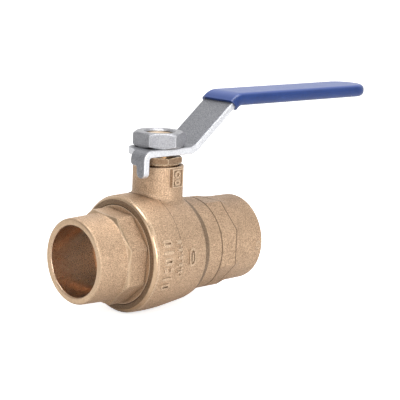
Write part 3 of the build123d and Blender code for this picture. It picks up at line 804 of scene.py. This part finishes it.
# %% Stop lug behind the neck, and the pip on the outlet cup
LUG_SIZE = (2.4, 5.2, 7.8)
LUG_START = 0.15
LUG_END = NECK_RADIUS + 3.8
LUG_FOOT = NECK_TOP - 4.6
lug = block(LUG_SIZE, (
    LUG_START + LUG_SIZE[0] / 2, LUG_END - LUG_SIZE[1] / 2, LUG_FOOT + LUG_SIZE[2] / 2
))
foot = [edge for edge in lug.edges if all(v.co.z < 32 and v.co.y > 14 for v in edge.verts)]
bmesh.ops.bevel(lug, geom=foot, affect="EDGES", offset=2.3, segments=4, profile=0.5, material=-1)
join_shape(body, lug)
pip = flat_mark("pip", 3.0, 0)
raise_mark(pip, 1.0, 0.25)
turn(pip, "X", math.pi / 2)
bmesh.ops.translate(pip, vec=(BODY_MOUTH - 2.7, -(OUTLET_CUP - 0.6), -0.5), verts=pip.verts[:])
join_shape(body, pip)
print("lug and pip joined")

# %% Paint and hand over the body
SHOULDER_START = 8.2
SHOULDER_END = 12.4
paint(body, 1, lambda spot, radius: radius < PIPE_BORE + 0.2 and spot.x > OUTLET_FLOOR - 0.2)
paint(body, 2, lambda spot, radius: spot.x > BODY_MOUTH - 0.25 and radius > PIPE_BORE + 0.2)
# Painted shade: the lip's front face round the tail piece takes the darker brass copy.
paint(body, 4, lambda spot, radius: spot.x < BODY_FACE + 0.1 and radius < LIP_RADIUS - 1.1)
# Painted shade: a dark line along the seam groove of the die.
paint(body, 3, lambda spot, radius: abs(spot.x - SEAM) < 0.16 and spot.y < 0 and spot.z > 2
      and abs(radius - barrel_radius(SEAM)) < 0.3)
# Painted shade: a dark line where the ring ends against the octagon.
paint(body, 3, lambda spot, radius: -0.5 < spot.x - RING_END < 0.3 and radius > 17.5)
# Painted shade: the steep shoulder behind the barrel faces away from the light and takes the darker
# brass copy.
paint(body, 4, lambda spot, radius: SHOULDER_START < spot.x < SHOULDER_END
      and 19.5 < radius < barrel_radius(spot.x) + 0.2)
paint(body, 2, lambda spot, radius: spot.x < BODY_FACE + 1.0 and radius > LIP_RADIUS - 1.1)
# Painted shade: a dark line at the rear end of the outlet octagon.
paint(body, 3, lambda spot, radius: abs(spot.x - OUTLET_OCTAGON_END) < 0.2 and radius > 17.5)
finish_piece(body, "valve_body_forging", "housing", "valve_body",
             [forged_brass, bore_brass, turned_brass, crease_shade_brass, painted_shade_brass])

# %% [markdown]
# ## Packing nut
# A thin brass hexagon squeezes the packing round the stem. It is turned and then pressed
# to six flats, as the octagons were, with a cone at its upper corners.

# %% Packing nut shape
PACKING_APOTHEM = 8.4
PACKING_CORNER = 9.75
PACKING_CLOCK = math.radians(-17.7)
COLLAR_RADIUS = 8.9
SCREW_RADIUS = 8.45
hex_foot = PACKING_TOP - 2.6
packing = half_section(
    [
        (PACKING_FOOT, STEM_BORE, 0.1), (PACKING_TOP, STEM_BORE, 0.15),
        (PACKING_TOP, COLLAR_RADIUS, 0.1), (PACKING_TOP - 0.4, PACKING_CORNER, 0.1),
        (hex_foot + 0.15, PACKING_CORNER, 0),
        (hex_foot, PACKING_CORNER - 0.25, 0), (hex_foot - 0.01, COLLAR_RADIUS, 0),
        (hex_foot - 0.6, COLLAR_RADIUS, 0.15), (hex_foot - 0.6, SCREW_RADIUS, 0),
        (PACKING_FOOT + 0.5, SCREW_RADIUS, 0), (PACKING_FOOT, PACKING_BORE, 0),
    ],
    "Z",
)
cut_rings(packing, "Z", hex_foot + 0.1, PACKING_TOP - 0.05, 0.15)
spin_full(packing, "Z", 144)
press_flats(packing, "Z", hex_foot - 0.005, PACKING_TOP + 0.01, 8.0, PACKING_APOTHEM, 6,
            PACKING_CLOCK, 300, 0.03)
finish_piece(packing, "packing_nut_brass", "housing", "packing_nut", [nut_brass])

# %% [markdown]
# ## Lever nut
# The steel nut that holds the lever has 30 degree cones on both faces and a countersunk
# hole. The cones are in the section; the press finds the curved line where each cone
# meets a flat by itself.

# %% Lever nut shape
NUT_APOTHEM = 9.5
NUT_CORNER = 11.0
NUT_CONE = (0.95, 9.4)
NUT_CLOCK = math.radians(-3.5)
nut = half_section(
    [
        (NUT_SEAT, 6.1, 0.1), (NUT_SEAT, NUT_CONE[1], 0.12), (NUT_SEAT + NUT_CONE[0], NUT_CORNER, 0.2),
        (NUT_TOP - NUT_CONE[0], NUT_CORNER, 0.2), (NUT_TOP, NUT_CONE[1], 0.12), (NUT_TOP, 6.8, 0.12),
        (NUT_TOP - 0.8, 5.95, 0.1),
    ]
    + [(NUT_TOP - 1.5 - 0.6 * step, 6.0 if step % 2 else 5.5, 0) for step in range(7)],
    "Z",
)
cut_rings(nut, "Z", NUT_SEAT + 0.1, NUT_TOP - 0.05, 0.2)
spin_full(nut, "Z", 192)
press_flats(nut, "Z", NUT_SEAT - 0.01, NUT_TOP + 0.01, 8.5, NUT_APOTHEM, 6, NUT_CLOCK, 220, 0.05)
# Painted shade: the faces down in the nut's threaded hole take the dark colour.
for face in nut.faces:
    middle = face.calc_center_median()
    if math.hypot(middle.x, middle.y) < 6.0 and middle.z < NUT_TOP - 0.5:
        face.material_index = 1
finish_piece(nut, "lever_nut_plated", "handle", "lever_nut", [nut_steel, nut_bore_shade_steel])

# %% [markdown]
# ## Lever
# The lever is pressed from 3 mm strip: a flat blank is punched with its tabs and its hole,
# tumbled so that its edges are round, and then bent. The model is made in the same order.
# The blank is two halves that meet on the centre line, each with half of the hole, so that
# no face has a hole in it. Bending it as the press does keeps the thickness true, which
# bending a finished outline wouldn't. The rim is painted brighter: a painted highlight where
# its rounded edges catch the light.

# %% Sizes of the blank
LEVER_FLOOR = PACKING_TOP + 0.76
THICKNESS = 3.0
LEVER_MIDDLE = LEVER_FLOOR + THICKNESS / 2
HALF_WIDTH = 8.65
SLOPE = math.radians(38.9)
RISE = 19.7
BEND = 6.5
TAB_BEND = 2.5
TAB_STRAIGHT = 11.3
HEAD_END = 12.8
TONGUE_WIDTH = 4.9
SIDE_TAB = (2.7, 8.5)
HOLE_RADIUS = 6.05
HOLE_FLAT = 4.8
bend_shift = THICKNESS / 2 * math.tan(SLOPE / 2)
first_corner = 11.56 + bend_shift
tangent = BEND * math.tan(SLOPE / 2)
ramp = RISE / math.sin(SLOPE) - 2 * tangent
second_corner = first_corner + RISE / math.tan(SLOPE)
ARC = BEND * SLOPE
ARM = LEVER_TIP - second_corner - tangent
LEVER_ROUTE = [(first_corner - tangent, 0), (ARC, SLOPE), (ramp, 0), (ARC, -SLOPE), (ARM + 5, 0)]
FLAT_TIP = first_corner - tangent + ARC + ramp + ARC + ARM
TAB_ARC = TAB_BEND * math.pi / 2
TAB_ROUTE = [(TAB_STRAIGHT, 0), (TAB_ARC, -math.pi / 2), (20, 0)]
LOBE_FLAT = TAB_STRAIGHT + TAB_ARC + (LEVER_MIDDLE - TAB_BEND) - (LEVER_FLOOR + THICKNESS - 6.4)
TONGUE_FLAT = LOBE_FLAT + 4.8
print("flat length", round(FLAT_TIP, 2))


# %% Lines of the blank
def closed_face(bm, corners):
    """One flat face from (x, y, rounding) corners."""
    loop = [(bm.verts.new((x, y, 0)), rounding) for x, y, rounding in corners]
    face = bm.faces.new([vert for vert, _ in loop])
    for size in sorted({rounding for _, rounding in loop if rounding > 0}):
        picked = [vert for vert, rounding in loop if rounding == size]
        bmesh.ops.bevel(bm, geom=picked, affect="VERTICES", offset=size, segments=10 if size > 3 else 5,
                        profile=0.5, material=-1)
    return face


hole_turns = [step * math.pi / 12 for step in range(13)]
hole_edge = [(math.cos(angle) * HOLE_RADIUS, min(HOLE_FLAT, math.sin(angle) * HOLE_RADIUS))
             for angle in hole_turns]
tongue_side = -HALF_WIDTH + TONGUE_WIDTH
tab_left, tab_right = SIDE_TAB
blank = bmesh.new()
closed_face(
    blank,
    [(-HOLE_RADIUS, 0, 0), (-HEAD_END, 0, 0), (-HEAD_END, HALF_WIDTH, 7.0), (tab_left, HALF_WIDTH, 0.6),
     (tab_left, LOBE_FLAT, 1.4), (tab_right, LOBE_FLAT, 1.4), (tab_right, HALF_WIDTH, 0.6),
     (FLAT_TIP, HALF_WIDTH, 7.8), (FLAT_TIP, 0, 0)]
    + [(x, y, 0) for x, y in hole_edge[:-1]],
)
closed_face(
    blank,
    [(HOLE_RADIUS, 0, 0), (FLAT_TIP, 0, 0), (FLAT_TIP, -HALF_WIDTH, 7.8),
     (-TONGUE_FLAT, -HALF_WIDTH, 2.3), (-TONGUE_FLAT, tongue_side, 2.3), (-LOBE_FLAT, tongue_side, 0.8),
     (-LOBE_FLAT, 0, 1.5), (-HEAD_END, 0, 0)]
    + [(x, -y, 0) for x, y in reversed(hole_edge[1:])],
)
bmesh.ops.remove_doubles(blank, verts=blank.verts[:], dist=0.001)
print("blank faces", len(blank.faces))


# %% Give the blank its thickness and tumble its edges
def thicken(bm, thickness):
    """Raise a flat blank to a plate, centred on its middle plane."""
    push_out(bm, bm.faces[:], (0, 0, thickness))
    bmesh.ops.translate(bm, vec=(0, 0, -thickness / 2), verts=bm.verts[:])
    bmesh.ops.recalc_face_normals(bm, faces=bm.faces[:])


def rim_edges(bm):
    """Edges between a flat side of a plate and its rim."""
    return [edge for edge in bm.edges
            if len(edge.link_faces) == 2
            and (abs(edge.link_faces[0].normal.z) > 0.9) != (abs(edge.link_faces[1].normal.z) > 0.9)]


thicken(blank, THICKNESS)
bmesh.ops.bevel(blank, geom=rim_edges(blank), affect="EDGES", offset=0.75, segments=4, profile=0.5,
                material=-1, clamp_overlap=True)
# Painted highlight: the rim faces take the bright rim colour.
for face in blank.faces:
    face.material_index = 1 if abs(face.normal.z) < 0.6 else 0
print("plate faces", len(blank.faces))


# %% Bend along a route
def along_route(route, distance):
    """Place and heading after a distance along straight runs and arcs."""
    x, z, heading = 0.0, 0.0, 0.0
    for length, turn in route:
        step = min(distance, length)
        if turn == 0:
            x += step * math.cos(heading)
            z += step * math.sin(heading)
        else:
            radius = length / turn
            turned = heading + turn * step / length
            x += radius * (math.sin(turned) - math.sin(heading))
            z += radius * (math.cos(heading) - math.cos(turned))
            heading = turned
        distance -= step
        if distance <= 0:
            break
    return x, z, heading


def cut_across(bm, direction, route, pieces):
    """Cut a plate across each arc of a route, so that it can bend there."""
    done = 0.0
    for length, turn in route:
        if turn:
            for number in range(pieces + 1):
                spot = Vector(direction) * (done + length * number / pieces)
                everything = bm.verts[:] + bm.edges[:] + bm.faces[:]
                bmesh.ops.bisect_plane(bm, geom=everything, plane_co=spot, plane_no=direction, dist=1e-5)
        done += length


def bend(bm, direction, route, wanted=lambda co: True):
    """Move each point of a plate from the flat to the bent route, keeping its height above it."""
    along = Vector(direction)
    for vert in bm.verts:
        distance = vert.co.dot(along)
        if distance > 0 and wanted(vert.co):
            x, z, heading = along_route(route, distance)
            height = vert.co.z
            rest = vert.co - along * distance - Vector((0, 0, height))
            vert.co = rest + along * (x - math.sin(heading) * height)
            vert.co.z = z + math.cos(heading) * height


cut_across(blank, (1, 0, 0), LEVER_ROUTE, 10)
cut_across(blank, (-1, 0, 0), TAB_ROUTE, 8)
cut_across(blank, (0, 1, 0), TAB_ROUTE, 8)
bend(blank, (0, 1, 0), TAB_ROUTE,
     lambda co: tab_left - 0.2 < co.x < tab_right + 0.2 and co.y > HALF_WIDTH)
bend(blank, (-1, 0, 0), TAB_ROUTE, lambda co: co.y < 0.01)
bend(blank, (1, 0, 0), LEVER_ROUTE, lambda co: co.y < HALF_WIDTH + 0.01)
bmesh.ops.translate(blank, vec=(0, 0, LEVER_MIDDLE), verts=blank.verts[:])
finish_piece(blank, "lever_bent_strip", "handle", "lever",
             [plated_steel, rim_highlight_steel], sharp=50)

# %% [markdown]
# ## Grip
# The grip is a vinyl sleeve that was dipped on the end of the lever, so it is everywhere
# the same small distance proud of the strip and has no hard edge at all. It is drawn flat,
# like the blank, given a pocket for the strip, and bent with the same route.

# %% Grip shape
GRIP_WALL = 1.2
GRIP_START = FLAT_TIP - ARM - ARC - 1.5
GRIP_HALF = HALF_WIDTH + GRIP_WALL
GRIP_TIP = FLAT_TIP + GRIP_WALL
TIP_ROUND = 9.2
sleeve = bmesh.new()
closed_face(
    sleeve,
    [(GRIP_START, GRIP_HALF, 0), (GRIP_TIP, GRIP_HALF, TIP_ROUND),
     (GRIP_TIP, -GRIP_HALF, TIP_ROUND), (GRIP_START, -GRIP_HALF, 0)],
)
thicken(sleeve, THICKNESS + 2 * GRIP_WALL)
long_rims = [edge for edge in rim_edges(sleeve)
             if not all(abs(vert.co.x - GRIP_START) < 0.01 for vert in edge.verts)]
bmesh.ops.bevel(sleeve, geom=long_rims, affect="EDGES", offset=2.3, segments=8, profile=0.5, material=-1)
mouth = min(sleeve.faces, key=lambda face: face.calc_center_median().x)
bmesh.ops.inset_region(sleeve, faces=[mouth], thickness=GRIP_WALL - 0.1)
push_out(sleeve, [mouth], (ARM, 0, 0))
bmesh.ops.delete(sleeve, geom=[mouth], context="FACES_ONLY")
cut_across(sleeve, (1, 0, 0), LEVER_ROUTE, 12)
bend(sleeve, (1, 0, 0), LEVER_ROUTE)
bmesh.ops.translate(sleeve, vec=(0, 0, LEVER_MIDDLE), verts=sleeve.verts[:])
finish_piece(sleeve, "lever_grip_dipped", "handle", "lever_grip", [blue_vinyl], sharp=60)

# %% [markdown]
# ## Inner pieces
# The ball, seats, seal, packing and stem are right as they were designed, and most of them
# are hidden. They keep their own meshes and only get their finishes.

# %% Finish the designed pieces
inner_finish = {
    "ball": ball_chrome, "stem": stem_brass, "packing_follower": turned_brass,
    "seat_ring_inlet": ptfe, "seat_ring_outlet": ptfe, "body_seal": ptfe, "stem_thrust_washer": ptfe,
    "packing_ring_lower": ptfe, "packing_ring_middle": ptfe, "packing_ring_upper": ptfe,
}
for node, material in inner_finish.items():
    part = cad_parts[node]
    part.data.materials.clear()
    part.data.materials.append(material)
print("finished", len(inner_finish), "designed pieces")

# %% [markdown]
# ## Studio: the floor
# The valve stands on a plain pale sheet, just below its lowest point, so that it casts only
# a faint shadow. The camera sees the sheet a little brighter than the metal does, through
# the light path node, which keeps the background white without flooding the valve.

# %% Floor
floor_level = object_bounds()[0][2]
sheet = bmesh.new()
bmesh.ops.create_grid(sheet, x_segments=2, y_segments=2, size=8.0)
bmesh.ops.translate(sheet, vec=(0, 0, floor_level - 0.0003), verts=sheet.verts[:])
floor_mesh = bpy.data.meshes.new("studio_floor")
sheet.to_mesh(floor_mesh)
sheet.free()
floor_object = bpy.data.objects.new("studio_floor", floor_mesh)
bpy.context.scene.collection.objects.link(floor_object)
paper, paper_tree, paper_shader = new_material("studio_paper")
fibres = use_group(paper_tree, grain, {"Fine": 400.0, "Coarse": 6.0, "Mix": 0.5})
paper_tree.links.new(
    colour_mix(paper_tree, fibres.outputs["Tint"], (0.76, 0.76, 0.76), (0.8, 0.8, 0.8)),
    paper_shader.inputs["Base Color"],
)
paper_shader.inputs["Roughness"].default_value = 0.9
paper_shader.inputs["Emission Color"].default_value = (1, 1, 1, 1)
seen = add_node(paper_tree, "LightPath")
paper_tree.links.new(scaled(paper_tree, seen.outputs["Is Camera Ray"], 0.72),
                     paper_shader.inputs["Emission Strength"])
floor_mesh.materials.append(paper)
print("floor at", round(floor_level / MM, 2), "mm")

# %% [markdown]
# ## Studio: the light
# The light is soft and white, as for a catalogue: one broad lamp above, a weak one at the
# front left and two in front. The surround is brighter behind the valve than in front of
# it, so that the metal reflects a gradient instead of one flat tone.


# %% Lamps and surround
def soft_lamp(name, spot, aim, size, power):
    """Rectangular lamp at a spot, turned towards a point."""
    lamp = bpy.data.lights.new(name, "AREA")
    lamp.shape = "RECTANGLE"
    lamp.size, lamp.size_y = size
    lamp.energy = power
    holder = bpy.data.objects.new(name, lamp)
    holder.location = spot
    holder.rotation_euler = (Vector(aim) - Vector(spot)).to_track_quat("-Z", "Y").to_euler()
    bpy.context.scene.collection.objects.link(holder)


soft_lamp("lamp_above", (0.05, -0.05, 0.75), (0.03, 0, 0), (0.6, 0.4), 4.6)
soft_lamp("lamp_front_left", (-0.75, -0.2, 0.3), (0, 0, 0.01), (0.4, 0.5), 1.1)
soft_lamp("lamp_front", (-0.28, -0.8, 0.36), (0, 0, 0.01), (0.45, 0.4), 3.4)
soft_lamp("lamp_front_right", (0.06, -0.9, 0.1), (0, 0, 0.01), (0.4, 0.18), 2.4)
world = bpy.data.worlds.new("studio_surround")
world.use_nodes = True
world.node_tree.nodes["Background"].inputs["Color"].default_value = (1, 1, 1, 1)
look = add_node(world.node_tree, "TexCoord")
BEHIND = (0.67, 0.74, 0.0)
backdrop = add_node(world.node_tree, "VectorMath", [(0, look.outputs["Generated"]), (1, BEHIND)],
                    operation="DOT_PRODUCT")
glow = add_node(world.node_tree, "MapRange", [
    ("Value", backdrop.outputs["Value"]), ("From Min", -0.2),
    ("From Max", 0.9), ("To Min", 0.42), ("To Max", 1.1),
])
world.node_tree.links.new(glow.outputs[0], world.node_tree.nodes["Background"].inputs["Strength"])
bpy.context.scene.world = world
bpy.context.scene.view_settings.view_transform = "Standard"
print("lamps", len(bpy.data.lights))

# %% [markdown]
# ## Camera
# A long lens from the front left, slightly above, keeps the pipe's outlines nearly
# parallel. The camera is rolled by a small angle, because the valve isn't quite level.

# %% Camera
camera_data = bpy.data.cameras.new("catalogue_camera")
camera_data.lens = 123.8
camera_data.sensor_width = 36
camera_data.clip_start = 0.01
camera_data.clip_end = 50
camera = bpy.data.objects.new("catalogue_camera", camera_data)
aim = Vector((0.01539, -0.00946, 0.02026))
camera.location = (-0.37325, -0.41167, 0.12779)
facing = (aim - camera.location).to_track_quat("-Z", "Y")
camera.rotation_mode = "QUATERNION"
camera.rotation_quaternion = facing @ Quaternion((0, 0, 1), math.radians(2.42))
bpy.context.scene.collection.objects.link(camera)
bpy.context.scene.camera = camera
print("camera", tuple(round(value, 3) for value in camera.location))
